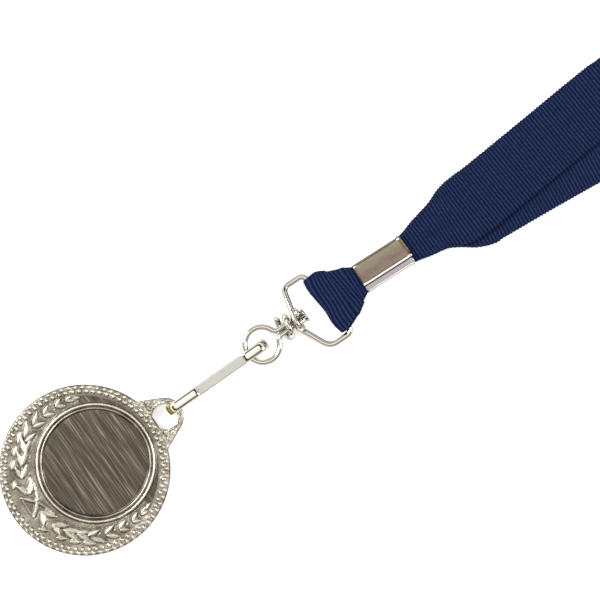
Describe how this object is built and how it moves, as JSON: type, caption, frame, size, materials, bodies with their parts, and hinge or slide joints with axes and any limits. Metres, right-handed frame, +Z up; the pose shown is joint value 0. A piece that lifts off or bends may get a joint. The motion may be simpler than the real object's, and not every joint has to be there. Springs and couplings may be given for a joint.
{
  "type": "medal",
  "caption": "Round award medal with a beaded, wreathed rim and an insert recess, hung by a flat link and a swivel wire ring from a neck ribbon.",
  "frame": {"origin": "centre of the medal's flat back face", "axes": "+Z up, out of the medal's face; +X from the medal along the fittings to the ribbon; +Y to the left of that"},
  "size_m": [0.35, 0.04, 0.0062],
  "materials": {
    "medal_metal": "antique nickel, brushed recess",
    "fitting_metal": "polished nickel plate",
    "ribbon": "navy cross-ribbed woven ribbon",
    "tie": "dark elastic band"
  },
  "bodies": {
    "lanyard": {"ribbon_crimp": "fitting_metal", "ribbon_ring_loop": "ribbon", "ribbon_front_strap": "ribbon", "ribbon_back_strap": "ribbon", "ribbon_hank": "ribbon", "hank_tie": "tie"},
    "ring": {"ring_wire": "fitting_metal"},
    "eye": {"eye_wire": "fitting_metal"},
    "link": {"connector_link": "fitting_metal"},
    "medal": {"medal_disc": "medal_metal"}
  },
  "joints": [
    {"name": "ring_hinge", "type": "hinge", "parent": "lanyard", "child": "ring", "pos_m": [0.068, 0.0081, 0.0023], "axis": [-0.1191, 0.9929, 0], "range_deg": [-60, 60]},
    {"name": "swivel_spin", "type": "hinge", "parent": "ring", "child": "eye", "pos_m": [0.059, 0.0002, 0.00315], "axis": [1, 0, 0], "continuous": true},
    {"name": "link_fold", "type": "hinge", "parent": "eye", "child": "link", "pos_m": [0.0469, 0.0002, 0.00315], "axis": [0, 1, 0], "range_deg": [-75, 75]},
    {"name": "medal_fold", "type": "hinge", "parent": "link", "child": "medal", "pos_m": [0.0261, 0, 0.00225], "axis": [0, 1, 0], "range_deg": [-75, 75]}
  ]
}
